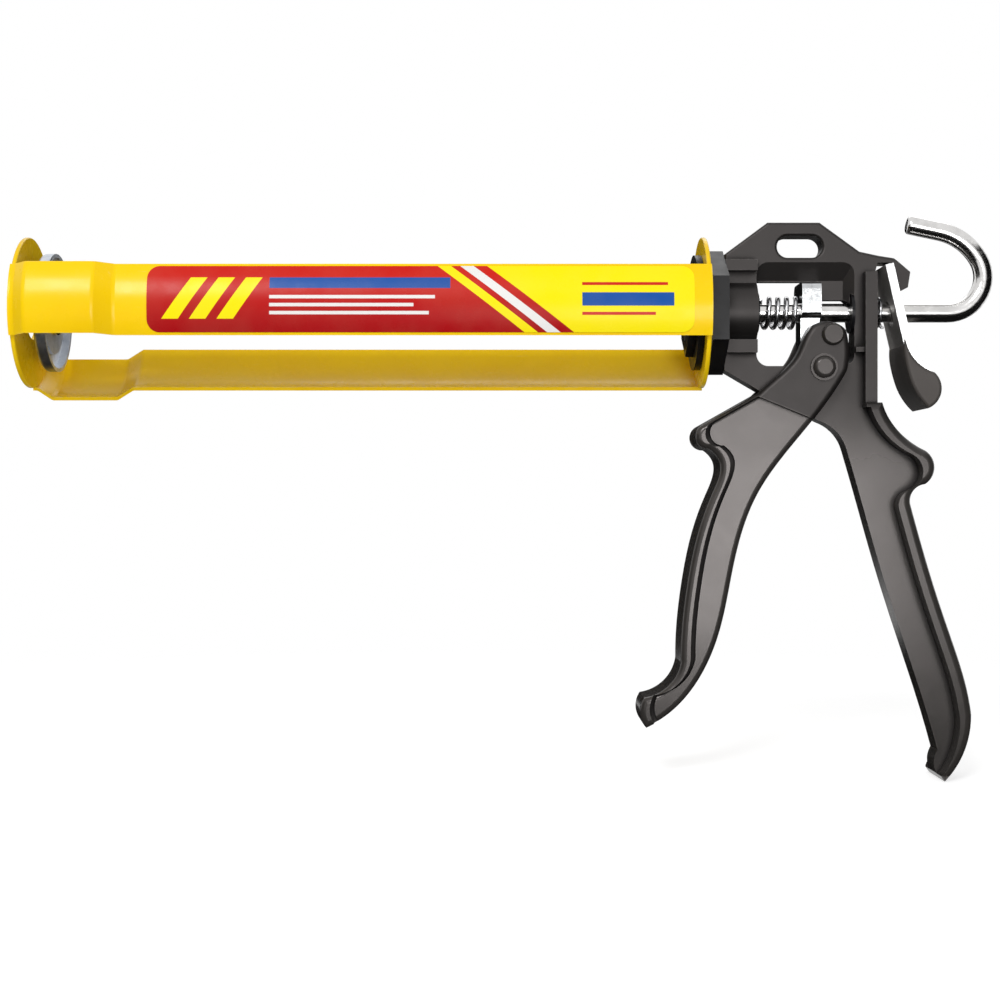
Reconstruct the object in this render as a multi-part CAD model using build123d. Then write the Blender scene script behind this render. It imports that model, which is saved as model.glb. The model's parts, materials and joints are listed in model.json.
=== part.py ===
from build123d import *
import math
import os

# Caulking gun with a turning cradle, a squeeze trigger and a smooth push rod.
# X runs back along the rod, Z is up, Y goes away from the viewer.
# The origin is on the rod axis, at the inner face of the front cap.

HALF_TURN_ANGLE = 180.0
QUARTER_TURN_ANGLE = 90.0
HEX_SIDES = 6

# Cradle sizes, millimetres and degrees
CRADLE_INNER = 227.2
SHEET = 1.2
PLATE_T = 1.5
PLATE_R = 25.5
WELD_GAP = 0.05
NOZZLE_HOLE_R = 9.0
POCKET_STEP = 4.2
SHOULDER_LENGTH = 4.5
POCKET_LENGTH = 27.0
JOGGLE_LENGTH = 6.0
RAIL_SPAN_ANGLE = 52.6
LABEL_RAIL_ANGLE = 4.7
LOWER_RAIL_ANGLE = 230.5
BEND_R = 2.0
RIM_ROUND = 0.5
LABEL_T = 0.15
LABEL_GAP = 0.05
LABEL_START = 44.0
LABEL_END_GAP = 4.5
LABEL_EDGE = 1.0
LABEL_CORNER = 4.0

# Rod and plunger sizes
ROD_R = 3.2
RUNNING_FIT = 0.08
HOOK_START = 25.7
HOOK_R = 12.2
HOOK_ANGLE = 120.0
HOOK_CROWN_R = 20.0
HOOK_CROWN_ANGLE = 48.0
HOOK_TAIL = 11.5
ROD_END_ROUND = 1.2
SPIGOT_R = 2.4
NOSE_GAP = 1.0
NUT_HEX_R = 5.6
NUT_T = 3.6
PLUNGER_R = 20.0
PLUNGER_T = 1.2
PLUNGER_RIM = 4.0
BACKING_R = 14.0
BACKING_T = 1.5
WASHER_R = 7.5
WASHER_T = 1.2
SEAT_FIT = 0.03

# Hub sizes, along X from the rear face of the rear plate
STUB_R = 9.5
HUB_PLAY = 0.1
HUB_NUT_R = 19.5
HUB_NUT_T = 2.2
HUB_HEX_R = 15.0
HUB_HEX_T = 2.6
THRUST_R = 18.0
THRUST_T = 0.9
COLLAR_CORNER_R = 21.1
COLLAR_T = 5.4
THREAD_FIT = 0.05
BOSS_R = 10.9
BOSS_LENGTH = 10.8
BUSH_T = 1.4
BUSH_FLANGE_R = 7.0
BUSH_FLANGE_T = 1.0

# Casting sizes
WEB_HALF = 5.0
RECESS_HALF = 2.0
RIB_HALF = 8.0
FLANGE_HALF = 13.0
WALL_FLANGE_HALF = 9.5
WALL_FLANGE_T = 4.0
WINDOW_LENGTH = 33.1
WINDOW_TOP = 16.7
WINDOW_BOTTOM = -18.4
WINDOW_CORNER = 4.0
HOOD_DROP = 6.0
HOOD_RUN = 3.4
ROD_BAY_GAP = 1.0
PLATE_BAY_GAP = 0.6
WALL_T = 6.9
WALL_TOP = 13.0
WALL_FOOT = -31.0
UPPER_RIB = (13.6, 17.4)
LOWER_RIB = (-14.0, -9.6)
WALL_RIB = (-13.8, -12.2)
WALL_RIB_LENGTH = 3.4
HANG_SLOT_AT = (31.9, 22.0)
HANG_SLOT_LENGTH = 15.4
HANG_SLOT_WIDTH = 7.4
CAST_ROUND = 1.0
FLANGE_ROUND = 2.5
FLANGE_SHIFT = (-4.2, -1.6)

# Outline of the casting, X from the back of the rear wall and Z from the rod axis
FIN_BACK = [(-18.6, 30.2), (-5.1, 20.4), (1.4, 19.0)]
CATCH_LUG = [
    (6.4, 18.2),
    (12.0, 13.4),
    (11.2, 8.2),
    (8.8, 7.2),
    (7.0, 14.6),
    (4.8, 16.6),
    (1.0, 16.6),
]
SPUR_TOP = [(1.3, -31.0), (4.0, -37.1), (9.3, -43.1), (15.6, -47.1)]
SPUR_TIP = [(15.6, -47.1), (18.7, -52.2), (15.6, -58.4)]
SPUR_UNDER = [(15.6, -58.4), (11.4, -61.0), (10.6, -65.0)]
GRIP_BACK = [
    (10.6, -65.0),
    (14.0, -77.4),
    (19.3, -95.1),
    (24.7, -111.1),
    (29.0, -124.8),
    (31.0, -135.4),
]
GRIP_TOE = [(31.0, -135.4), (29.7, -145.1), (22.2, -158.0)]
GRIP_END = [(22.2, -158.0), (20.4, -155.0), (21.2, -148.2)]
GRIP_FRONT = [
    (21.2, -148.2),
    (15.9, -130.0),
    (8.4, -107.3),
    (1.3, -84.7),
    (-5.1, -62.0),
    (-9.5, -46.8),
]
GRIP_THROAT = [(-9.5, -46.8), (-12.6, -41.0), (-18.6, -37.0)]

# Front of the casting, X from the hub face
FIN_FRONT = (21.0, 30.2)
FRONT_FOOT = (18.0, -26.6)
FRONT_HEEL_Z = -19.8
FRONT_TOP_Z = 19.4

# Trigger sizes
PIVOT = (38.9, -19.2)
DRIVE_PIN_AT = (41.9, -8.2)
PIN_R = 2.5
DRIVE_PIN_R = 3.0
PIN_HEAD_R = 3.75
PIN_HEAD_T = 2.0
PIN_HEAD_DOME = 1.6
HEAD_MARGIN = 0.6
PIVOT_LUG_R = 7.0
PIN_WASHER_R = 4.5
PIN_WASHER_T = 0.7
SIDE_PLAY = 0.3
SIDE_HALF = 9.6
FRONT_HALF = 11.0
FRONT_BAND = (3.2, 0.8)
GROOVE_SHIFT = (5.0, 1.2)
GROOVE_DEPTH = 2.2
CHANNEL_SHIFT = (6.5, 1.5)
TRIGGER_ROUND = 2.0

# Outline of the trigger, in the same coordinates as the casting
HEAD_FRONT = [(34.9, -5.5), (31.9, -10.8), (29.9, -15.2), (24.9, -20.9), (17.2, -27.8)]
TRIGGER_BROW = (-1.6, -38.4)
TRIGGER_NUB = [(-1.6, -38.4), (-4.0, -42.2), (0.6, -46.6)]
FINGER_FACE = [
    (0.6, -46.6),
    (4.2, -51.5),
    (1.4, -62.1),
    (-3.9, -77.5),
    (-6.9, -92.9),
    (-8.6, -107.9),
    (-8.9, -118.0),
]
TOE_FRONT = [(-8.9, -118.0), (-12.6, -125.6), (-21.2, -130.0)]
TOE_END = [(-21.2, -130.0), (-22.6, -135.4), (-20.4, -140.2)]
TRIGGER_BACK = [
    (-20.4, -140.2),
    (-7.9, -131.0),
    (3.8, -109.6),
    (9.2, -85.2),
    (16.9, -62.1),
    (35.3, -37.3),
    (47.0, -20.2),
]
HEAD_BACK = [(47.0, -20.2), (47.6, -12.0), (46.6, -6.6)]
FORK_ZONE = [(15.0, -28.2), (36.0, -36.8), (58.0, -36.8), (58.0, 6.4), (15.0, 6.4)]

# Drive plates and springs
DRIVE_PLATE_T = 3.2
PLATE_TOP = 9.8
PLATE_HALF = 8.6
PLATE_CORNER = 2.4
TONGUE_HALF = 4.9
TONGUE_TOP = -2.4
TONGUE_END = -11.4
PIN_GAP = 0.3
STACK_GAP = 0.1
ARCS_PER_TURN = 4
POINTS_PER_TURN = 24
MAIN_WIRE_R = 0.75
MAIN_MEAN_R = 5.0
MAIN_TURNS = 4.0
SPRING_SEAT_GAP = 0.3
CATCH_WIRE_R = 0.55
CATCH_MEAN_R = 4.9
CATCH_TURNS = 2.5
CATCH_POCKET_R = 6.0
CATCH_POCKET_DEPTH = 2.6
CATCH_REACH = 4.2

# Release lever
LEVER_T = 2.8
LEVER_HALF = 11.0
LEVER_TOP = (3.7, 15.4)
LEVER_TILT_ANGLE = 13.0
LEVER_STRAIGHT = 29.0
LEVER_BEND_R = 9.0
LEVER_BEND_ANGLE = 36.0
LEVER_TAIL = 5.2
LEVER_HOLE_R = 4.3
PAD_WALL = 1.6
PAD_ROUND = 1.2
PAD_SPINE = [(8.8, -9.6), (10.0, -13.4), (12.3, -17.0), (15.2, -19.4), (18.6, -21.0)]
PAD_TIP = [(18.6, -21.0), (21.0, -26.2), (16.6, -33.0)]
PAD_FRONT = [(16.6, -33.0), (14.0, -30.2), (11.4, -25.9), (9.6, -20.6), (8.5, -15.0), (8.8, -9.6)]

# Places that follow from the sizes above
HUB = CRADLE_INNER + PLATE_T
RAIL_R = PLATE_R + WELD_GAP
STUB_START = -PLATE_T - HUB_PLAY - HUB_NUT_T - HUB_HEX_T
COLLAR_START = HUB_PLAY + THRUST_T
BOSS_START = COLLAR_START + COLLAR_T
WINDOW_START = BOSS_START + BOSS_LENGTH
WALL_START = WINDOW_START + WINDOW_LENGTH
WALL_END = WALL_START + WALL_T
PLATES_END = DRIVE_PIN_AT[0] - DRIVE_PIN_R - PIN_GAP
PLATES_START = PLATES_END - 2 * DRIVE_PLATE_T - STACK_GAP
CHEEK_INNER = WEB_HALF + SIDE_PLAY
MAIN_START = WINDOW_START + BUSH_FLANGE_T + SPRING_SEAT_GAP
MAIN_END = PLATES_START - SPRING_SEAT_GAP
CATCH_START = WALL_END - CATCH_POCKET_DEPTH + SPRING_SEAT_GAP
CATCH_END = WALL_END + CATCH_REACH
PLUNGER_FRONT = NOSE_GAP + NUT_T
BACKING_START = PLUNGER_FRONT + PLUNGER_T
WASHER_START = BACKING_START + BACKING_T
SHOULDER_X = WASHER_START + WASHER_T


def side(face, half):
    """Extrude an X-Z outline equally to both sides of the middle plane."""
    return extrude(Plane.XZ * face, amount=half, both=True)


def outline(*stretches):
    """Face bounded by lines and curves that meet end to end."""
    return make_face(Curve() + list(stretches))


def along_x(radius, start, end):
    """Cylinder on the rod axis from one X to another."""
    return Pos(start, 0, 0) * extrude(Plane.YZ * Circle(radius), amount=end - start)


def hexagon(corner_r, start, end):
    """Hexagonal prism on the rod axis with a corner at the top."""
    face = Plane.YZ * RegularPolygon(corner_r, HEX_SIDES, rotation=QUARTER_TURN_ANGLE)
    return Pos(start, 0, 0) * extrude(face, amount=end - start)


def from_wall(points):
    """Points measured from the back of the rear wall, given from the hub face."""
    return [(WALL_END + x, z) for x, z in points]


def across(radius, at, half):
    """Cylinder along Y, centred on the middle plane."""
    return side(Pos(at[0], at[1]) * Circle(radius), half)


def sector(profile, centre, span):
    """Turn a profile about the rod axis; angle 0 faces the viewer and 90 is up."""
    turned = revolve(Plane.XZ * profile, Axis.X, span)
    return Rot(QUARTER_TURN_ANGLE - centre - span / 2, 0, 0) * turned


# Cradle
def rail_section(centre, at_x, shift):
    """Curved strip across the rod, moved out along its own middle."""
    start = HALF_TURN_ANGLE - centre - RAIL_SPAN_ANGLE / 2
    inner = CenterArc((0, 0), RAIL_R, start, RAIL_SPAN_ANGLE)
    outer = CenterArc((0, 0), RAIL_R + SHEET, start, RAIL_SPAN_ANGLE)
    strip = outline(inner, Line(inner @ 1, outer @ 1), outer, Line(outer @ 0, inner @ 0))
    turn = math.radians(centre)
    return Pos(at_x, -shift * math.cos(turn), shift * math.sin(turn)) * (Plane.YZ * strip)


def rail(centre):
    stations = [
        (-PLATE_T, 0),
        (0, 0),
        (SHOULDER_LENGTH, POCKET_STEP),
        (POCKET_LENGTH, POCKET_STEP),
        (POCKET_LENGTH + JOGGLE_LENGTH, 0),
        (HUB, 0),
    ]
    strip = loft([rail_section(centre, x, shift) for x, shift in stations], ruled=True)
    bends = [x for x, shift in stations[1:-1]]
    arcs = strip.edges().filter_by(GeomType.LINE, reverse=True)
    bent = [edge for edge in arcs if min(abs(edge.center().X - x) for x in bends) < WELD_GAP]
    return fillet(bent, BEND_R)


def front_cap():
    disc = along_x(PLATE_R, -PLATE_T, 0)
    disc = fillet(disc.edges().filter_by(GeomType.CIRCLE), RIM_ROUND)
    return disc - along_x(NOZZLE_HOLE_R, -PLATE_T, 0)


def rear_plate():
    disc = along_x(PLATE_R, CRADLE_INNER, HUB)
    disc = fillet(disc.edges().filter_by(GeomType.CIRCLE), RIM_ROUND)
    return disc - along_x(STUB_R + RUNNING_FIT, CRADLE_INNER, HUB)


def label():
    inner_r = RAIL_R + SHEET + LABEL_GAP
    end_x = CRADLE_INNER - LABEL_END_GAP
    half = math.radians(RAIL_SPAN_ANGLE / 2) - LABEL_EDGE / inner_r
    low = inner_r * math.sin(math.radians(LABEL_RAIL_ANGLE) - half)
    high = inner_r * math.sin(math.radians(LABEL_RAIL_ANGLE) + half)
    length = end_x - LABEL_START
    middle_x = LABEL_START + length / 2
    window = Pos(middle_x, (low + high) / 2) * RectangleRounded(length, high - low, LABEL_CORNER)
    film = Pos(middle_x, inner_r + LABEL_T / 2) * Rectangle(length, LABEL_T)
    shell = sector(film, LABEL_RAIL_ANGLE, RAIL_SPAN_ANGLE)
    return shell & extrude(Plane.XZ * window, amount=inner_r + 2 * LABEL_T)


# Hub
def hub_nut():
    nut = along_x(HUB_NUT_R, STUB_START + HUB_HEX_T, STUB_START + HUB_HEX_T + HUB_NUT_T)
    nut += hexagon(HUB_HEX_R, STUB_START, STUB_START + HUB_HEX_T)
    return nut - along_x(STUB_R + THREAD_FIT, STUB_START, 0)


def thrust_washer():
    ring = along_x(THRUST_R, HUB_PLAY, COLLAR_START)
    return ring - along_x(STUB_R + THREAD_FIT, HUB_PLAY, COLLAR_START)


def swivel_collar():
    collar = hexagon(COLLAR_CORNER_R, COLLAR_START, BOSS_START)
    return collar - along_x(STUB_R + THREAD_FIT, COLLAR_START, BOSS_START)


def bush(start, end, flange_start):
    tube = along_x(ROD_R + BUSH_T, start, end)
    tube += along_x(BUSH_FLANGE_R, flange_start, flange_start + BUSH_FLANGE_T)
    return tube - along_x(ROD_R + RUNNING_FIT, start - BUSH_FLANGE_T, end + BUSH_FLANGE_T)


# Casting
def casting_face():
    front = [(BOSS_START, FRONT_HEEL_Z), (BOSS_START, FRONT_TOP_Z), FIN_FRONT]
    back = from_wall(FIN_BACK + CATCH_LUG + [(0, WALL_TOP), (0, WALL_FOOT), SPUR_TOP[0]])
    throat = from_wall(GRIP_THROAT)
    return outline(
        Polyline(*front, *back),
        Spline(*from_wall(SPUR_TOP)),
        ThreePointArc(*from_wall(SPUR_TIP)),
        ThreePointArc(*from_wall(SPUR_UNDER)),
        Spline(*from_wall(GRIP_BACK)),
        ThreePointArc(*from_wall(GRIP_TOE)),
        ThreePointArc(*from_wall(GRIP_END)),
        Spline(*from_wall(GRIP_FRONT)),
        ThreePointArc(*throat),
        Polyline(throat[-1], FRONT_FOOT, front[0]),
    )


def band(low, high, start, end, half):
    """Straight rib of the casting between two heights."""
    return side(Pos((start + end) / 2, (low + high) / 2) * Rectangle(end - start, high - low), half)


def below(height):
    """Region of the side view under a height."""
    tall = 2 * abs(GRIP_TOE[-1][1])
    return Pos(GRIP_BACK[0][0], height - tall / 2) * Rectangle(2 * tall, tall)


def rounded_prism(face, half, radius):
    """Side view given a thickness, with its outer edges rounded."""
    prism = side(face, half)
    return fillet(prism.faces().filter_by(Axis.Y).edges(), radius)


def grip():
    face = casting_face()
    grip_face = face & below(WALL_FOOT)
    hollow = (Pos(*FLANGE_SHIFT) * face) & below(WALL_FOOT + FLANGE_HALF)
    flange = rounded_prism(grip_face, FLANGE_HALF, FLANGE_ROUND) - side(hollow, FLANGE_HALF)
    return flange + side(grip_face, WEB_HALF)


def body_casting():
    body = side(casting_face() - below(WALL_FOOT - FLANGE_HALF), WEB_HALF)
    body += grip()
    body += along_x(BOSS_R, BOSS_START, WINDOW_START)
    body += band(*UPPER_RIB, BOSS_START, WINDOW_START, RIB_HALF)
    body += band(*LOWER_RIB, BOSS_START, WINDOW_START, RIB_HALF)
    body += band(WALL_FOOT, WALL_TOP, WALL_END - WALL_FLANGE_T, WALL_END, WALL_FLANGE_HALF)
    body += band(*WALL_RIB, WALL_END - WALL_FLANGE_T - WALL_RIB_LENGTH, WALL_END, RIB_HALF)
    body -= casting_windows()
    body += across(PIVOT_LUG_R, PIVOT, WEB_HALF)
    body += along_x(STUB_R, STUB_START, BOSS_START)
    body -= along_x(ROD_R + BUSH_T + SEAT_FIT, STUB_START, WALL_END)
    body -= along_x(CATCH_POCKET_R, WALL_END - CATCH_POCKET_DEPTH, WALL_END)
    body -= across(PIN_R + SEAT_FIT, PIVOT, WEB_HALF)
    body -= side(Pos(*HANG_SLOT_AT) * SlotOverall(HANG_SLOT_LENGTH, HANG_SLOT_WIDTH), WEB_HALF)
    sides = body.faces().filter_by(Axis.Y)
    flats = [face for face in sides if abs(abs(face.center().Y) - WEB_HALF) < SEAT_FIT]
    edges = [edge for face in flats for edge in face.edges().filter_by(GeomType.LINE)]
    fin_edges = [edge for edge in edges if edge.center().Z > UPPER_RIB[1] + CAST_ROUND]
    return fillet(fin_edges, CAST_ROUND)


def hood():
    """Slanted walls at the top and the back of the recess, on both sides."""
    roof_face = Polyline(
        (RECESS_HALF, WINDOW_TOP - HOOD_DROP),
        (WEB_HALF, WINDOW_TOP),
        (RECESS_HALF, WINDOW_TOP),
        close=True,
    )
    back_face = Polyline(
        (WALL_START - HOOD_RUN, RECESS_HALF),
        (WALL_START, WEB_HALF),
        (WALL_START, RECESS_HALF),
        close=True,
    )
    roof = extrude(Plane.YZ * make_face(roof_face), amount=WINDOW_LENGTH)
    slant = Pos(WINDOW_START, 0, 0) * roof + extrude(make_face(back_face), amount=WINDOW_TOP)
    return slant + mirror(slant, Plane.XZ)


def casting_windows():
    middle_x = WINDOW_START + WINDOW_LENGTH / 2
    middle_z = (WINDOW_TOP + WINDOW_BOTTOM) / 2
    tall = WINDOW_TOP - WINDOW_BOTTOM
    frame = Pos(middle_x, middle_z) * RectangleRounded(WINDOW_LENGTH, tall, WINDOW_CORNER)
    recess = side(frame, WALL_FLANGE_HALF) - side(frame, RECESS_HALF) - hood()
    plate_top = PLATE_TOP + PLATE_BAY_GAP
    plate_end = PLATES_END + SIDE_PLAY
    plate_bay = band(WINDOW_BOTTOM, plate_top, WINDOW_START, plate_end, RECESS_HALF)
    rod_bay = band(WINDOW_BOTTOM, ROD_R + ROD_BAY_GAP, plate_end, WALL_START, RECESS_HALF)
    bush_bay = along_x(BUSH_FLANGE_R + SIDE_PLAY, WALL_START - BUSH_FLANGE_T - SIDE_PLAY, WALL_START)
    return recess + ((plate_bay + rod_bay) & side(frame, RECESS_HALF)) + bush_bay


# Trigger
def trigger_face():
    return outline(
        Spline(*HEAD_FRONT),
        Line(HEAD_FRONT[-1], TRIGGER_BROW),
        ThreePointArc(*TRIGGER_NUB),
        Spline(*FINGER_FACE),
        ThreePointArc(*TOE_FRONT),
        ThreePointArc(*TOE_END),
        Spline(*TRIGGER_BACK),
        Spline(*HEAD_BACK),
        ThreePointArc(
            HEAD_BACK[-1],
            (DRIVE_PIN_AT[0], DRIVE_PIN_AT[1] + PIN_HEAD_R + HEAD_MARGIN),
            HEAD_FRONT[0],
        ),
    )


def trigger():
    face = trigger_face()
    fork = outline(Polyline(*FORK_ZONE, close=True))
    panel = (Pos(*FRONT_BAND) * face) - fork
    lever = rounded_prism(face, SIDE_HALF, TRIGGER_ROUND)
    lever += rounded_prism(face, FRONT_HALF, TRIGGER_ROUND) - side(panel, FRONT_HALF)
    groove = panel - (Pos(*GROOVE_SHIFT) * face)
    lever -= side(groove, FRONT_HALF) - side(groove, SIDE_HALF - GROOVE_DEPTH)
    lever -= side(Pos(*CHANNEL_SHIFT) * face, CHEEK_INNER)
    lever -= side(fork, CHEEK_INNER)
    lever -= across(PIN_R + RUNNING_FIT, PIVOT, FRONT_HALF)
    return lever - across(DRIVE_PIN_R + SEAT_FIT, DRIVE_PIN_AT, FRONT_HALF)


def riveted_pin(at, radius, grip_half):
    pin = across(radius, at, grip_half + PIN_HEAD_T)
    for direction in (-1, 1):
        middle_y = direction * (grip_half + PIN_HEAD_T / 2)
        head = Pos(0, middle_y, 0) * across(PIN_HEAD_R, at, PIN_HEAD_T / 2)
        outer = head.faces().sort_by(Axis.Y)[0 if direction < 0 else -1]
        pin += fillet(outer.edges(), PIN_HEAD_DOME)
    return pin


def pivot_washers():
    middle_y = FRONT_HALF + SIDE_PLAY + PIN_WASHER_T / 2
    washer = across(PIN_WASHER_R, PIVOT, PIN_WASHER_T / 2)
    washer -= across(PIN_R + SEAT_FIT, PIVOT, PIN_WASHER_T)
    return [Pos(0, direction * middle_y, 0) * washer for direction in (-1, 1)]


# Drive plates
def drive_plate(start):
    shoulder = (PLATE_TOP + TONGUE_TOP) / 2
    tall = PLATE_TOP - TONGUE_TOP
    plate = Pos(0, shoulder) * RectangleRounded(2 * PLATE_HALF, tall, PLATE_CORNER)
    plate += Pos(0, (TONGUE_END + shoulder) / 2) * Rectangle(2 * TONGUE_HALF, shoulder - TONGUE_END)
    plate -= Circle(ROD_R + RUNNING_FIT)
    return Pos(start, 0, 0) * extrude(Plane.YZ * plate, amount=DRIVE_PLATE_T)


# Springs
def biarc(start, end, way_in, way_out):
    """Two arcs that leave along way_in and arrive along way_out."""
    chord = end - start
    ways = way_in + way_out
    spread = 2 * (1 - way_in.dot(way_out))
    along = chord.dot(ways)
    reach = (math.sqrt(along**2 + spread * chord.dot(chord)) - along) / spread
    first = start + way_in * reach
    second = end - way_out * reach
    middle = (first + second) / 2
    arrive = TangentArc(middle, end, tangent=second - first)
    return [TangentArc(start, middle, tangent=way_in), arrive]


def helix_point(turn, start, length, turns, mean_r):
    angle = 2 * math.pi * turn
    along = start + length * turn / turns
    return Vector(along, mean_r * math.sin(angle), mean_r * math.cos(angle))


def helix_way(turn, length, turns, mean_r):
    angle = 2 * math.pi * turn
    rise = length / (2 * math.pi * turns)
    return Vector(rise, mean_r * math.cos(angle), -mean_r * math.sin(angle)).normalized()


def coil(name, start, end, turns, mean_r, wire_r):
    first = start + wire_r
    length = end - start - 2 * wire_r
    steps = int(ARCS_PER_TURN * turns)
    arcs = []
    for step in range(steps):
        here = step / ARCS_PER_TURN
        there = (step + 1) / ARCS_PER_TURN
        arcs += biarc(
            helix_point(here, first, length, turns, mean_r),
            helix_point(there, first, length, turns, mean_r),
            helix_way(here, length, turns, mean_r),
            helix_way(there, length, turns, mean_r),
        )
    path = Wire(arcs)
    profile = Plane(path @ 0, z_dir=path % 0) * Circle(wire_r)
    count = int(POINTS_PER_TURN * turns) + 1
    points = [helix_point(i / POINTS_PER_TURN, first, length, turns, mean_r) for i in range(count)]
    gaps = [
        (points[i] - points[j]).length - 2 * wire_r
        for i in range(count)
        for j in range(i + POINTS_PER_TURN // 2, count)
    ]
    print(name, "least gap to itself", round(min(gaps), 2), "mm")
    return sweep(profile, path=path)


# Release lever
def lever_strip(thickness, tail_length):
    """Side view of the bent lever."""
    tilt = math.radians(LEVER_TILT_ANGLE)
    top = Vector(*from_wall([LEVER_TOP])[0])
    down = Vector(math.sin(tilt), -math.cos(tilt))
    knee = top + down * LEVER_STRAIGHT
    bend = JernArc(knee, down, LEVER_BEND_R, LEVER_BEND_ANGLE)
    tail = Line(bend @ 1, bend @ 1 + (bend % 1) * tail_length)
    return trace(Curve() + [Line(top, knee), bend, tail], thickness)


def release_lever():
    plate = side(lever_strip(LEVER_T, LEVER_TAIL), LEVER_HALF)
    tilt = math.radians(LEVER_TILT_ANGLE)
    hole_x = WALL_END + LEVER_TOP[0] + LEVER_TOP[1] * math.tan(tilt)
    normal = (math.cos(tilt), 0, math.sin(tilt))
    plane = Plane(origin=(hole_x, 0, 0), x_dir=(0, 1, 0), z_dir=normal)
    return plate - extrude(plane * Circle(LEVER_HOLE_R), amount=LEVER_T, both=True)


def lever_pad():
    face = outline(
        Spline(*from_wall(PAD_SPINE)),
        ThreePointArc(*from_wall(PAD_TIP)),
        Spline(*from_wall(PAD_FRONT)),
    )
    pad = rounded_prism(face, LEVER_HALF + PAD_WALL, PAD_ROUND)
    slot = lever_strip(LEVER_T + 2 * WELD_GAP, LEVER_TAIL + WELD_GAP)
    pad -= side(slot, LEVER_HALF + WELD_GAP)
    return pad.solids().sort_by(SortBy.VOLUME)[-1]


# Rod and plunger
def push_rod():
    bend_start = HUB + WALL_END + HOOK_START
    straight = Line((SHOULDER_X, 0), (bend_start, 0))
    bend = JernArc(straight @ 1, (1, 0), HOOK_R, HOOK_ANGLE)
    crown = JernArc(bend @ 1, bend % 1, HOOK_CROWN_R, HOOK_CROWN_ANGLE)
    tail = Line(crown @ 1, crown @ 1 + (crown % 1) * HOOK_TAIL)
    path = Plane.XZ * (Curve() + [straight, bend, crown, tail])
    rod = sweep(Plane.YZ.offset(SHOULDER_X) * Circle(ROD_R), path=path)
    tip = tail @ 1
    end_face = rod.faces().sort_by_distance(Vector(tip.X, 0, tip.Y))[0]
    rod = fillet(end_face.edges(), ROD_END_ROUND)
    return rod + along_x(SPIGOT_R, NOSE_GAP, SHOULDER_X)


def plunger_disc():
    bore_r = SPIGOT_R + SEAT_FIT
    rim_end = PLUNGER_FRONT + PLUNGER_RIM
    face = Polyline(
        (PLUNGER_FRONT, bore_r),
        (PLUNGER_FRONT, PLUNGER_R),
        (rim_end, PLUNGER_R),
        (rim_end, PLUNGER_R - PLUNGER_T),
        (BACKING_START, PLUNGER_R - PLUNGER_T),
        (BACKING_START, bore_r),
        close=True,
    )
    profile = make_face(face)
    corner = profile.vertices().sort_by(Axis.Y)[-2:].sort_by(Axis.X)[0]
    profile = fillet(corner, PLUNGER_T)
    return revolve(Plane.XZ * profile, Axis.X)


def ring(radius, start, thickness):
    end = start + thickness
    return along_x(radius, start, end) - along_x(SPIGOT_R + SEAT_FIT, start, end)


def plunger_nut():
    nut = hexagon(NUT_HEX_R, NOSE_GAP, PLUNGER_FRONT)
    return nut - along_x(SPIGOT_R + SEAT_FIT, NOSE_GAP, PLUNGER_FRONT)


def at_hub(shape):
    return Pos(HUB, 0, 0) * shape


def write(name, shape):
    shapes = shape if isinstance(shape, list) else [shape]
    solids = [solid for item in shapes for solid in item.solids()]
    export_step(solids[0] if len(solids) == 1 else Compound(children=solids), f"parts/{name}.step")


os.makedirs("parts", exist_ok=True)
write("front_cap", front_cap())
write("label_rail", rail(LABEL_RAIL_ANGLE))
write("lower_rail", rail(LOWER_RAIL_ANGLE))
write("rear_plate", rear_plate())
write("label", label())
write("hub_nut", at_hub(hub_nut()))
write("thrust_washer", at_hub(thrust_washer()))
write("swivel_collar", at_hub(swivel_collar()))
write("body_casting", at_hub(body_casting()))
write("front_bush", at_hub(bush(STUB_START, WINDOW_START, WINDOW_START)))
write("rear_bush", at_hub(bush(WALL_START, WALL_END - CATCH_POCKET_DEPTH, WALL_START - BUSH_FLANGE_T)))
write("pivot_pin", at_hub(riveted_pin(PIVOT, PIN_R, FRONT_HALF + SIDE_PLAY + PIN_WASHER_T)))
write("pivot_washers", [at_hub(washer) for washer in pivot_washers()])
write("trigger", at_hub(trigger()))
write("drive_pin", at_hub(riveted_pin(DRIVE_PIN_AT, DRIVE_PIN_R, FRONT_HALF)))
write("drive_plate_front", at_hub(drive_plate(PLATES_START)))
write("drive_plate_rear", at_hub(drive_plate(PLATES_START + DRIVE_PLATE_T + STACK_GAP)))
main_coil = coil("main_spring", MAIN_START, MAIN_END, MAIN_TURNS, MAIN_MEAN_R, MAIN_WIRE_R)
write("main_spring", at_hub(main_coil))
catch_coil = coil("catch_spring", CATCH_START, CATCH_END, CATCH_TURNS, CATCH_MEAN_R, CATCH_WIRE_R)
write("catch_spring", at_hub(catch_coil))
write("release_lever", at_hub(release_lever()))
write("lever_pad", at_hub(lever_pad()))
write("push_rod", push_rod())
write("plunger_disc", plunger_disc())
write("plunger_backing", ring(BACKING_R, BACKING_START, BACKING_T))
write("plunger_washer", ring(WASHER_R, WASHER_START, WASHER_T))
write("plunger_nut", plunger_nut())
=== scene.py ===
import json
import math

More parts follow.
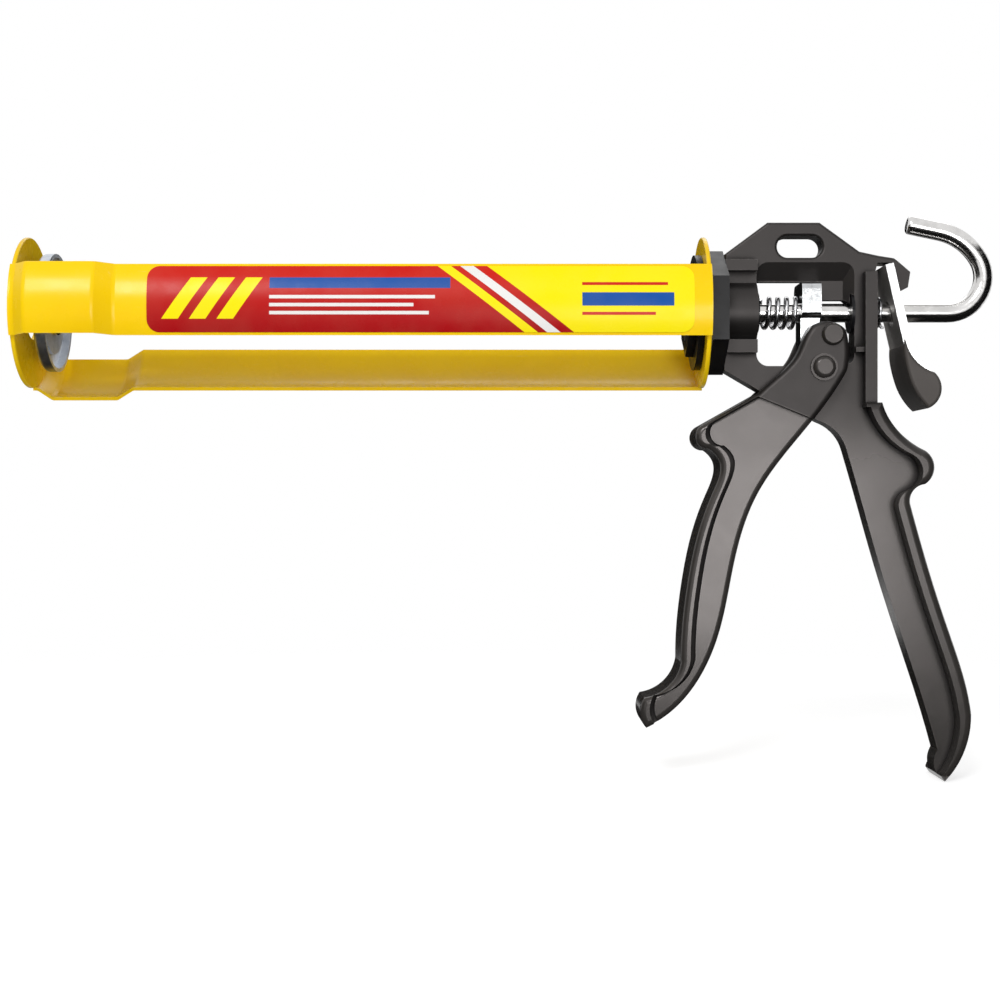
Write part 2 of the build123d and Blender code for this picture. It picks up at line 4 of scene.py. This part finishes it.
import bpy
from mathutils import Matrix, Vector


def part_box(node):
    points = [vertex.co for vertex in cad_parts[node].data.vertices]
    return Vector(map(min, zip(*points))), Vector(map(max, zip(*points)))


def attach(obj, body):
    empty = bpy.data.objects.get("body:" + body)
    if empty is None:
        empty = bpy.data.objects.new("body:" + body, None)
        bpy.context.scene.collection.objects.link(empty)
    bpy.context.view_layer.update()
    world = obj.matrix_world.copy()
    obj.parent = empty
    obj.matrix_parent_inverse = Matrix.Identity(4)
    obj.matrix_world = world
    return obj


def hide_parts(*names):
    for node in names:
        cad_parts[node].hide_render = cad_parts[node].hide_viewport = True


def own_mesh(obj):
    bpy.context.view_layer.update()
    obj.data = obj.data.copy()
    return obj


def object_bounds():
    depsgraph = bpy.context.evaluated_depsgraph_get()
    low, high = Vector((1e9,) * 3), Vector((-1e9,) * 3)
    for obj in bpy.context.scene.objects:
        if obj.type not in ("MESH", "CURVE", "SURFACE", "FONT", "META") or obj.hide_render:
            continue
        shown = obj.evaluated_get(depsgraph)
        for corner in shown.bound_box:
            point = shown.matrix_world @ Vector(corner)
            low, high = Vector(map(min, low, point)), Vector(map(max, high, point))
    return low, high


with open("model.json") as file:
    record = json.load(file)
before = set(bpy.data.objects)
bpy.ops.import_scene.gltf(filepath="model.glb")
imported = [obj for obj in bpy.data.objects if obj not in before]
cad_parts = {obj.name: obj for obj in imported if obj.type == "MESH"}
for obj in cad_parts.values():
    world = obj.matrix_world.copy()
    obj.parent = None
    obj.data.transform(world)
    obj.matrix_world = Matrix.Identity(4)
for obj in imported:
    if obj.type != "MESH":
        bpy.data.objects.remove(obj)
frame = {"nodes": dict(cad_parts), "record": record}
cad_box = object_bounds()
scene = bpy.context.scene

MM = 0.001
QUARTER_TURN = math.pi / 2
FULL_TURN = 2 * math.pi
WHITE = (1, 1, 1, 1)
EVEN = (1, 1, 1)

# The hub, where the cradle meets the handle
HUB_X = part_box("rear_plate")[1].x

# Sockets of the node that mixes colours
MIX_SHARE = 0
MIX_FIRST = 6
MIX_SECOND = 7
MIX_RESULT = 2

# Where most values of a noise lie
NOISE_LOW = 0.3
NOISE_HIGH = 0.7

# Cosine of the turn between the true and the rounded surface at an edge
EDGE_STARTS = 0.985
EDGE_FULL = 0.86

# Share of the sky that is open in a groove
GROOVE_STARTS = 0.80
GROOVE_FULL = 0.40


class Shader:
    """A node material being built: values go in as numbers, colours or sockets."""

    def __init__(self, name):
        self.material = bpy.data.materials.new(name)
        self.material.use_nodes = True
        self.tree = self.material.node_tree
        self.bsdf = self.tree.nodes["Principled BSDF"]
        coordinates = self.add("ShaderNodeTexCoord")
        self.place = coordinates.outputs["Object"]
        self.normal = coordinates.outputs["Normal"]

    def add(self, kind, **settings):
        made = self.tree.nodes.new(kind)
        for key, value in settings.items():
            setattr(made, key, value)
        return made

    def put(self, socket, value):
        if isinstance(value, bpy.types.NodeSocket):
            self.tree.links.new(value, socket)
        else:
            socket.default_value = value

    def set(self, **values):
        """Fill the shader's own sockets, with _ for the spaces in their names."""
        for name, value in values.items():
            self.put(self.bsdf.inputs[name.replace("_", " ")], value)

    def math(self, operation, first, second=0.0, third=0.0, clamp=False):
        made = self.add("ShaderNodeMath", operation=operation, use_clamp=clamp)
        for socket, value in zip(made.inputs, (first, second, third)):
            self.put(socket, value)
        return made.outputs[0]

    def split(self, vector):
        """X, Y and Z of a vector."""
        made = self.add("ShaderNodeSeparateXYZ")
        self.put(made.inputs[0], vector)
        return made.outputs

    def noise(self, size, detail, rough=0.5, stretch=EVEN):
        """Noise whose features are about `size` millimetres."""
        moved = self.add("ShaderNodeMapping")
        self.put(moved.inputs["Vector"], self.place)
        moved.inputs["Scale"].default_value = stretch
        made = self.add("ShaderNodeTexNoise")
        self.put(made.inputs["Vector"], moved.outputs[0])
        made.inputs["Scale"].default_value = 1 / (size * MM)
        made.inputs["Detail"].default_value = detail
        made.inputs["Roughness"].default_value = rough
        return made.outputs[0]

    def grade(self, value, low, high, out_low=0.0, out_high=1.0):
        """Map a range of values smoothly onto another one."""
        made = self.add("ShaderNodeMapRange", interpolation_type="SMOOTHSTEP")
        for socket, item in zip(made.inputs, (value, low, high, out_low, out_high)):
            self.put(socket, item)
        return made.outputs[0]

    def vary(self, noise, low=0.0, high=1.0):
        """Spread a noise over the range from `low` to `high`."""
        return self.grade(noise, NOISE_LOW, NOISE_HIGH, low, high)

    def mix(self, share, first, second, amount=1.0):
        """Blend two colours by a share, or by `amount` times that share."""
        if amount != 1.0:
            share = self.math("MULTIPLY", share, amount)
        made = self.add("ShaderNodeMix", data_type="RGBA")
        self.put(made.inputs[MIX_SHARE], share)
        for index, colour in ((MIX_FIRST, first), (MIX_SECOND, second)):
            self.put(made.inputs[index], (*colour, 1) if isinstance(colour, tuple) else colour)
        return made.outputs[MIX_RESULT]

    def rougher(self, rough, where, by):
        """Roughness that is `by` higher where the second value is 1."""
        return self.math("MULTIPLY_ADD", where, by, rough, clamp=True)

    def edges(self, reach):
        """1 at sharp edges, within about `reach` millimetres, and 0 on flats."""
        rounded = self.add("ShaderNodeBevel", samples=4)
        rounded.inputs["Radius"].default_value = reach * MM
        plain = self.add("ShaderNodeNewGeometry")
        turn = self.add("ShaderNodeVectorMath", operation="DOT_PRODUCT")
        self.put(turn.inputs[0], rounded.outputs[0])
        self.put(turn.inputs[1], plain.outputs["Normal"])
        return self.grade(turn.outputs["Value"], EDGE_STARTS, EDGE_FULL)

    def rub(self, tone, worn, amount, reach, size, low, high, detail=4, rough=0.7):
        """Worn colour in broken stretches along the edges."""
        stretches = self.grade(self.noise(size, detail, rough), low, high)
        return self.mix(self.math("MULTIPLY", self.edges(reach), stretches), tone, worn, amount)

    def crevices(self, reach):
        """1 deep in grooves and inner corners, 0 in the open."""
        shade = self.add("ShaderNodeAmbientOcclusion", samples=8, only_local=True)
        shade.inputs["Distance"].default_value = reach * MM
        return self.grade(shade.outputs["AO"], GROOVE_STARTS, GROOVE_FULL)

    def sideways(self):
        """How far the surface looks to either side: 1 along Y, 0 across it."""
        _, side, _ = self.split(self.normal)
        return self.math("ABSOLUTE", side)

    def bump(self, height, depth, strength, normal=None):
        """Relief of about `depth` millimetres, on top of another relief if one is given."""
        made = self.add("ShaderNodeBump")
        made.inputs["Strength"].default_value = strength
        made.inputs["Distance"].default_value = depth * MM
        self.put(made.inputs["Height"], height)
        if normal is not None:
            self.put(made.inputs["Normal"], normal)
        return made.outputs[0]


# Yellow paint
PAINT_DEEP = (0.95, 0.60, 0.002)
PAINT_BRIGHT = (1.0, 0.66, 0.003)
PAINT_RUBBED = (0.95, 0.76, 0.25)
PAINT_SCUFFED = (0.98, 0.80, 0.30)
SCUFF_STRETCH = (0.06, 1, 1)


def yellow_enamel():
    """Paint with faint clouds, orange peel, rubbed edges and patches of long scuffs."""
    s = Shader("yellow_enamel")
    clouds = s.grade(s.noise(size=38, detail=2), low=0.35, high=0.65)
    tone = s.mix(clouds, PAINT_DEEP, PAINT_BRIGHT)
    tone = s.rub(tone, PAINT_RUBBED, amount=0.5, reach=0.7, size=2.6, low=0.45, high=0.62)
    scratches = s.noise(size=0.7, detail=3, rough=0.6, stretch=SCUFF_STRETCH)
    scratches = s.grade(scratches, low=0.66, high=0.74)
    patches = s.grade(s.noise(size=30, detail=2), low=0.5, high=0.66)
    scuffs = s.math("MULTIPLY", scratches, patches)
    tone = s.mix(scuffs, tone, PAINT_SCUFFED, amount=0.35)
    rough = s.vary(s.noise(size=9, detail=4, rough=0.6), low=0.22, high=0.32)
    s.set(
        Base_Color=tone,
        Roughness=s.rougher(rough, scuffs, by=0.25),
        Normal=s.bump(s.noise(size=1.1, detail=2), depth=0.03, strength=0.35),
        Specular_IOR_Level=0.16,
        Coat_Weight=0.05,
        Coat_Roughness=0.12,
    )
    return s.material


# Black enamel and plastic
CASTING = {
    "dark": (0.031, 0.0285, 0.0265),
    "light": (0.037, 0.034, 0.0315),
    "rough": 0.24,
    "shine": 0.42,
    # painted shade for the part above the line
    "shade_above": (0.010, 0.009, 0.0085),
}
RIVET = {
    "dark": (0.022, 0.020, 0.018),
    "light": (0.034, 0.031, 0.029),
    "rough": 0.27,
    "shine": 0.35,
}
PLASTIC = {
    "dark": (0.060, 0.054, 0.050),
    "light": (0.076, 0.070, 0.065),
    "rough": 0.5,
    "shine": 0.3,
}
SATIN_SPREAD = 0.012
SATIN_TINT = (1.0, 0.93, 0.91, 1)
ENAMEL_RUBBED = (0.16, 0.15, 0.14)
# Painted shade: the near-black that grooves and inner corners are darkened towards
CREVICE_SHADE = (0.004, 0.004, 0.004)

# Heights between which satin turns rougher and darker, the darker colour being painted shade, in
# millimetres above the rod's axis
BODY_SHADE_HEIGHTS = (-58, -24)
TRIGGER_SHADE_HEIGHTS = (-28.8, -27.6)
TRIGGER_SHADE_SLOPE = 0.41

# How far behind the hub a sloping line has these heights
SHADE_FROM_HUB = 15


def cast_enamel(name, dark, light, rough, shine, shade_above=None, above=None, slope=0.0):
    """Pebbled satin: rubbed edges, grooves painted black as shade and, if given, a rougher top above a
    line whose darker colour is painted shade.
    """
    s = Shader(name)
    tone = s.mix(s.vary(s.noise(size=14, detail=3)), dark, light)
    satin = s.vary(s.noise(size=7, detail=3), rough - SATIN_SPREAD, rough + SATIN_SPREAD)
    # Painted shade: above the line the colour is darker; the roughness there is also higher
    if shade_above is not None:
        along, _, up = s.split(s.place)
        behind = s.math("SUBTRACT", along, HUB_X + SHADE_FROM_HUB * MM)
        height = s.math("MULTIPLY_ADD", behind, slope, up)
        low, high = above
        shaded_upper = s.grade(height, low * MM, high * MM)
        tone = s.mix(shaded_upper, tone, shade_above)
        satin = s.rougher(satin, shaded_upper, by=0.20)
    tone = s.rub(tone, ENAMEL_RUBBED, amount=0.4, reach=0.6, size=1.8, low=0.47, high=0.62)
    # Painted shade: grooves and inner corners are darkened towards black; they are also made rougher,
    # like paint built up there
    shade_and_buildup = s.crevices(reach=5.0)
    tone = s.mix(shade_and_buildup, tone, CREVICE_SHADE, amount=0.85)
    pebbles = s.bump(s.noise(size=1.3, detail=3, rough=0.55), depth=0.03, strength=0.25)
    s.set(
        Base_Color=tone,
        Roughness=s.rougher(satin, shade_and_buildup, by=0.5),
        Specular_IOR_Level=shine,
        Specular_Tint=SATIN_TINT,
        Normal=s.bump(s.noise(size=0.35, detail=2), depth=0.010, strength=0.25, normal=pebbles),
    )
    return s.material


# Black gloss
GLOSS_DARK = (0.005, 0.005, 0.006)
GLOSS_LIGHT = (0.010, 0.010, 0.011)
GLOSS_RUBBED = (0.10, 0.10, 0.105)


def black_gloss():
    s = Shader("black_gloss")
    tone = s.mix(s.vary(s.noise(size=8, detail=3)), GLOSS_DARK, GLOSS_LIGHT)
    tone = s.rub(tone, GLOSS_RUBBED, amount=0.3, reach=0.4, size=1.5, low=0.52, high=0.64)
    s.set(
        Base_Color=tone,
        Roughness=s.vary(s.noise(size=4, detail=4, rough=0.6), low=0.30, high=0.38),
        Specular_IOR_Level=0.18,
        Normal=s.bump(s.noise(size=0.9, detail=2), depth=0.02, strength=0.3),
    )
    return s.material


# Steel and zinc
ROD = {"dark": (0.62, 0.61, 0.60), "light": (0.74, 0.73, 0.72), "rough": 0.16, "grain": (0.04, 1, 1)}
SPRING_WIRE = {"dark": (0.50, 0.50, 0.51), "light": (0.64, 0.64, 0.65), "rough": 0.22}
ZINC = {"dark": (0.50, 0.51, 0.52), "light": (0.64, 0.65, 0.66), "rough": 0.13}
PLUNGER = {"dark": (0.48, 0.52, 0.58), "light": (0.70, 0.73, 0.78), "rough": 0.42}
LEVER = {
    "dark": (0.60, 0.60, 0.60),
    "light": (0.74, 0.74, 0.74),
    "rough": 0.22,
    # painted shade for the faces that don't look sideways
    "face_shade": (0.34, 0.325, 0.31),
}
METAL_RUBBED = (0.93, 0.93, 0.93)
SMOOTHEST = 0.75
ROUGHEST = 1.35


def metal(name, dark, light, rough, grain=EVEN, face_shade=None):
    """Bright metal with stains and grain; an optional darker colour, painted shade for the dark the
    faces reflect, goes on the faces that don't look sideways.
    """
    s = Shader(name)
    stains = s.grade(s.noise(size=6, detail=4, rough=0.6), low=0.32, high=0.68)
    tone = s.mix(stains, dark, light)
    lines = s.noise(size=0.4, detail=3, rough=0.6, stretch=grain)
    spread = s.vary(lines, rough * SMOOTHEST, rough * ROUGHEST)
    if face_shade is not None:
        # Painted shade: faces that don't look sideways get the darker colour and are also rougher
        shaded_faces = s.grade(s.sideways(), low=0.75, high=0.45)
        tone = s.mix(shaded_faces, tone, face_shade)
        spread = s.rougher(spread, shaded_faces, by=0.35)
    tone = s.rub(
        tone,
        METAL_RUBBED,
        amount=0.6,
        reach=0.4,
        size=1.5,
        low=0.35,
        high=0.6,
        detail=3,
        rough=0.5,
    )
    s.set(
        Base_Color=tone,
        Metallic=1.0,
        Roughness=spread,
        Normal=s.bump(lines, depth=0.012, strength=0.35),
    )
    return s.material


# Nylon
NYLON_DEEP = (0.70, 0.69, 0.63)
NYLON_PALE = (0.80, 0.79, 0.74)


def nylon():
    s = Shader("nylon")
    s.set(
        Base_Color=s.mix(s.vary(s.noise(size=5, detail=3)), NYLON_DEEP, NYLON_PALE),
        Roughness=s.vary(s.noise(size=2, detail=3), low=0.45, high=0.6),
        Normal=s.bump(s.noise(size=0.6, detail=2), depth=0.02, strength=0.4),
    )
    return s.material


# Label print, in millimetres from the film's front end and up from the rod's axis
RED = (0.62, 0.014, 0.008)
# Painted shade: the colour the red takes at the bottom of the label
SHADED_RED = (0.40, 0.005, 0.008)
YELLOW = (1.0, 0.84, 0.003)
BLUE = (0.006, 0.085, 0.37)
PALE = (0.86, 0.85, 0.83)
FADED = (0.80, 0.55, 0.35)
PRINT_SOFTNESS = 0.12
# Painted shade: heights over which the red goes from its shaded colour at the bottom to full red at the
# top
RED_SHADE_FULL = -10
RED_SHADE_ENDS = 13
SPLIT_SLANT = 1.3
SPLIT_STARTS = 127.6
SPLIT_ENDS = 128.0
STRIPES = ((119.0, 123.4, PALE), (111.6, 116.0, YELLOW))
BAR_STARTS = (8.0, 17.0, 26.0)
BAR_WIDTH = 5.4
BAR_FOOT = -4.6
BAR_TOP = 9.0
BAR_SLANT = 0.7

# Each column: its start, the end, foot and top of its band, and its rules by end and foot
LEFT_COLUMN = {
    "start": 40.0,
    "band": (99.0, 5.4, 9.0),
    "rules": ((94.0, 2.0), (87.0, -0.6), (92.0, -3.2)),
    "rule_height": 1.1,
    "rule_colour": PALE,
}
RIGHT_COLUMN = {
    "start": 142.0,
    "band": (172.0, -0.4, 4.0),
    "rules": ((170.0, 6.4), (166.0, -3.4)),
    "rule_height": 1.0,
    "rule_colour": RED,
}


def printed_film():
    """Label print: red and yellow fields, slanted bars and stripes, blue bands and plain rules; the red
    is darkened towards the bottom as painted shade.
    """
    s = Shader("printed_film")
    frame_x, _, up = s.split(s.place)
    along = s.math("SUBTRACT", frame_x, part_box("label")[0].x)

    def after(value, edge):
        return s.grade(value, (edge - PRINT_SOFTNESS) * MM, (edge + PRINT_SOFTNESS) * MM)

    def within(value, low, high):
        return s.math("SUBTRACT", after(value, low), after(value, high), clamp=True)

    def block(start, end, foot, top, slant=0.0):
        lean = s.math("MULTIPLY_ADD", up, -slant, along)
        return s.math("MULTIPLY", within(lean, start, end), within(up, foot, top))

    def column(tone, start, band, rules, rule_height, rule_colour):
        tone = s.mix(block(start, *band), tone, BLUE)
        for end, foot in rules:
            tone = s.mix(block(start, end, foot, foot + rule_height), tone, rule_colour)
        return tone

    # Painted shade: the red field is darker towards the bottom
    shaded_field = s.mix(s.grade(up, RED_SHADE_FULL * MM, RED_SHADE_ENDS * MM), SHADED_RED, RED)
    slanted = s.math("MULTIPLY_ADD", up, SPLIT_SLANT, along)
    tone = s.mix(s.grade(slanted, SPLIT_STARTS * MM, SPLIT_ENDS * MM), shaded_field, YELLOW)
    for start, end, colour in STRIPES:
        tone = s.mix(within(slanted, start, end), tone, colour)
    for start in BAR_STARTS:
        tone = s.mix(block(start, start + BAR_WIDTH, BAR_FOOT, BAR_TOP, BAR_SLANT), tone, YELLOW)
    tone = column(tone, **LEFT_COLUMN)
    tone = column(tone, **RIGHT_COLUMN)
    fade = s.grade(s.noise(size=16, detail=3), low=0.35, high=0.7, out_high=0.03)
    s.set(
        Base_Color=s.mix(fade, tone, FADED),
        Roughness=s.vary(s.noise(size=7, detail=4, rough=0.6), low=0.24, high=0.34),
        Specular_IOR_Level=0.1,
        Normal=s.bump(s.noise(size=5, detail=2), depth=0.02, strength=0.25),
    )
    return s.material


# Each piece takes the look of its slot, and a few have their own
slot_looks = {
    "yellow_paint": yellow_enamel(),
    "label_film": printed_film(),
    "cast_black": cast_enamel("body_enamel", **CASTING, above=BODY_SHADE_HEIGHTS),
    "black_steel": black_gloss(),
    "dark_rivet": cast_enamel("rivet_enamel", **RIVET),
    "grip_plastic": cast_enamel("grip_plastic", **PLASTIC),
    "bright_steel": metal("drawn_rod", **ROD),
    "spring_steel": metal("spring_wire", **SPRING_WIRE),
    "zinc": metal("zinc_plate", **ZINC),
    "nylon": nylon(),
}
plunger_zinc = metal("plunger_zinc", **PLUNGER)
own_looks = {
    "trigger": cast_enamel("trigger_enamel", **CASTING, above=TRIGGER_SHADE_HEIGHTS, slope=TRIGGER_SHADE_SLOPE),
    "release_lever": metal("lever_steel", **LEVER),
    "plunger_disc": plunger_zinc,
    "plunger_backing": plunger_zinc,
}
for part in frame["record"]["subparts"]:
    node = part["node"]
    mesh = frame["nodes"][node].data
    mesh.materials.clear()
    mesh.materials.append(own_looks.get(node, slot_looks[part["material_slot"]]))


# Springs
STEPS_PER_TURN = 48
WIRE_SIDES = 14


def spring(node, turns, wire_r):
    """Coil of wire in a spring's place, attached to the handle's body, with the CAD spring hidden."""
    low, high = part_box(node)
    mean_r = (high.z - low.z) / 2 - wire_r
    start = low.x + wire_r - HUB_X
    length = high.x - low.x - 2 * wire_r
    rise = length / (FULL_TURN * turns)
    steps = int(turns * STEPS_PER_TURN)
    verts = []
    for step in range(steps + 1):
        angle = FULL_TURN * turns * step / steps
        out = Vector((0, math.sin(angle), math.cos(angle)))
        way = Vector((rise, mean_r * math.cos(angle), -mean_r * math.sin(angle))).normalized()
        over = way.cross(out)
        centre = Vector((start + length * step / steps, 0, 0)) + out * mean_r
        for side in range(WIRE_SIDES):
            turn = FULL_TURN * side / WIRE_SIDES
            verts.append(centre + (out * math.cos(turn) + over * math.sin(turn)) * wire_r)
    walls = []
    for ring in range(0, steps * WIRE_SIDES, WIRE_SIDES):
        for side in range(WIRE_SIDES):
            here = ring + side
            beside = ring + (side + 1) % WIRE_SIDES
            walls.append((here, beside, beside + WIRE_SIDES, here + WIRE_SIDES))
    last_ring = steps * WIRE_SIDES
    ends = [tuple(reversed(range(WIRE_SIDES))), tuple(range(last_ring, last_ring + WIRE_SIDES))]
    mesh = bpy.data.meshes.new(node + "_coils")
    mesh.from_pydata(verts, [], walls + ends)
    mesh.polygons.foreach_set("use_smooth", [True] * len(walls) + [False] * len(ends))
    mesh.materials.append(slot_looks["spring_steel"])
    made = bpy.data.objects.new(node + "_coils", mesh)
    made.location.x = HUB_X
    scene.collection.objects.link(made)
    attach(made, "handle")
    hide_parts(node)
    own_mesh(made)


spring("main_spring", turns=4.0, wire_r=0.75 * MM)
spring("catch_spring", turns=2.5, wire_r=0.55 * MM)

# Studio, in metres and watts
WORLD_LIGHT = 0.34
WORLD_SEEN = 1.0
FLOOR_SIZE = 3.0
FLOOR_GREY = (0.6, 0.6, 0.6, 1)
FLOOR_GLOW = 0.70
FLOOR_FADE_STARTS = 0.18
FLOOR_FADE_ENDS = 0.55
FLAG_BLACK = (0.01, 0.01, 0.01, 1)
FLAG_LIFT = 0.002
LYING = (0, 0, 0)
FACING_X = (0, QUARTER_TURN, 0)
FACING_Y = (QUARTER_TURN, 0, 0)
CAMERA_AT = (0.1592, -0.605, -0.0637)
CAMERA_SENSOR = 36.0
CAMERA_LENS = 63.9


def seen_rays(tree):
    """1 for rays of the camera, of reflections and through glass, 0 for those that only light."""
    path = tree.nodes.new("ShaderNodeLightPath")
    seen = path.outputs["Is Camera Ray"]
    for name in ("Is Glossy Ray", "Is Transmission Ray"):
        either = tree.nodes.new("ShaderNodeMath")
        either.operation = "MAXIMUM"
        tree.links.new(seen, either.inputs[0])
        tree.links.new(path.outputs[name], either.inputs[1])
        seen = either.outputs[0]
    return seen


def world_light():
    """Soft even light, which looks plain white where it is seen."""
    world = bpy.data.worlds.new("studio")
    world.use_nodes = True
    scene.world = world
    tree = world.node_tree
    light = tree.nodes["Background"]
    white = tree.nodes.new("ShaderNodeBackground")
    for background, strength in ((light, WORLD_LIGHT), (white, WORLD_SEEN)):
        background.inputs["Color"].default_value = WHITE
        background.inputs["Strength"].default_value = strength
    both = tree.nodes.new("ShaderNodeMixShader")
    for socket, source in zip(both.inputs, (seen_rays(tree), light.outputs[0], white.outputs[0])):
        tree.links.new(source, socket)
    tree.links.new(both.outputs[0], tree.nodes["World Output"].inputs["Surface"])


def panel_light(name, at, target, width, height, power):
    data = bpy.data.lights.new(name, "AREA")
    data.shape = "RECTANGLE"
    data.size = width
    data.size_y = height
    data.energy = power
    lamp = bpy.data.objects.new(name, data)
    lamp.location = at
    lamp.rotation_euler = (Vector(target) - Vector(at)).to_track_quat("-Z", "Y").to_euler()
    scene.collection.objects.link(lamp)


def card(name, at, turn, width, height, material):
    """Flat rectangle that belongs to the studio."""
    x = width / 2
    y = height / 2
    mesh = bpy.data.meshes.new(name)
    mesh.from_pydata([(-x, -y, 0), (x, -y, 0), (x, y, 0), (-x, y, 0)], [], [(0, 1, 2, 3)])
    mesh.materials.append(material)
    made = bpy.data.objects.new(name, mesh)
    made.location = at
    made.rotation_euler = turn
    scene.collection.objects.link(made)
    return made


def floor_white():
    """White ground that takes shadows and fades out round its middle into the white world."""
    s = Shader("floor_white")
    s.set(Base_Color=FLOOR_GREY, Roughness=1.0, Specular_IOR_Level=0.0)
    glow = s.add("ShaderNodeEmission")
    glow.inputs["Color"].default_value = WHITE
    s.put(glow.inputs["Strength"], s.math("MULTIPLY", seen_rays(s.tree), FLOOR_GLOW))
    lit = s.add("ShaderNodeAddShader")
    s.put(lit.inputs[0], s.bsdf.outputs[0])
    s.put(lit.inputs[1], glow.outputs[0])
    away = s.add("ShaderNodeVectorMath", operation="LENGTH")
    s.put(away.inputs[0], s.place)
    faded = s.add("ShaderNodeMixShader")
    s.put(faded.inputs[0], s.grade(away.outputs["Value"], FLOOR_FADE_STARTS, FLOOR_FADE_ENDS))
    s.put(faded.inputs[1], lit.outputs[0])
    s.put(faded.inputs[2], s.add("ShaderNodeBsdfTransparent").outputs[0])
    s.put(s.tree.nodes["Material Output"].inputs["Surface"], faded.outputs[0])
    return s.material


def flag_black():
    s = Shader("flag_black")
    s.set(Base_Color=FLAG_BLACK, Roughness=1.0, Specular_IOR_Level=0.0)
    return s.material


def flag(name, at, turn, width, height, material):
    """Card beside the object, which only reflections see."""
    made = card(name, at, turn, width, height, material)
    made.visible_camera = False
    made.visible_diffuse = False
    made.visible_shadow = False
    made.visible_transmission = False


def camera():
    data = bpy.data.cameras.new("camera")
    data.sensor_width = CAMERA_SENSOR
    data.lens = CAMERA_LENS
    made = bpy.data.objects.new("camera", data)
    made.location = CAMERA_AT
    made.rotation_euler = FACING_Y
    scene.collection.objects.link(made)
    bpy.context.scene.camera = made


world_light()
panel_light("key", at=(-0.25, -1.35, 0.80), target=(0.15, 0, -0.02), width=0.45, height=0.45, power=13)
panel_light("front", at=(0.38, -1.2, -0.12), target=(0.24, 0, -0.07), width=0.32, height=0.40, power=4.2)
panel_light("rim", at=(0.4, 0.9, 0.9), target=(0.2, 0, -0.03), width=0.9, height=0.5, power=2.2)
ground_z = cad_box[0].z
black = flag_black()
flag("flag_under", (0.16, -0.1, ground_z + FLAG_LIFT), LYING, width=1.0, height=0.7, material=black)
flag("flag_right", (0.75, -0.3, -0.1), FACING_X, width=0.9, height=1.0, material=black)
flag("flag_left", (-0.45, -0.3, -0.1), FACING_X, width=0.5, height=0.8, material=black)
flag("flag_back", (0.16, 0.75, -0.12), FACING_Y, width=1.3, height=0.7, material=black)
middle = (cad_box[0] + cad_box[1]) / 2
card("floor", (middle.x, middle.y, ground_z), LYING, FLOOR_SIZE, FLOOR_SIZE, floor_white())
camera()
scene.view_settings.view_transform = "Standard"
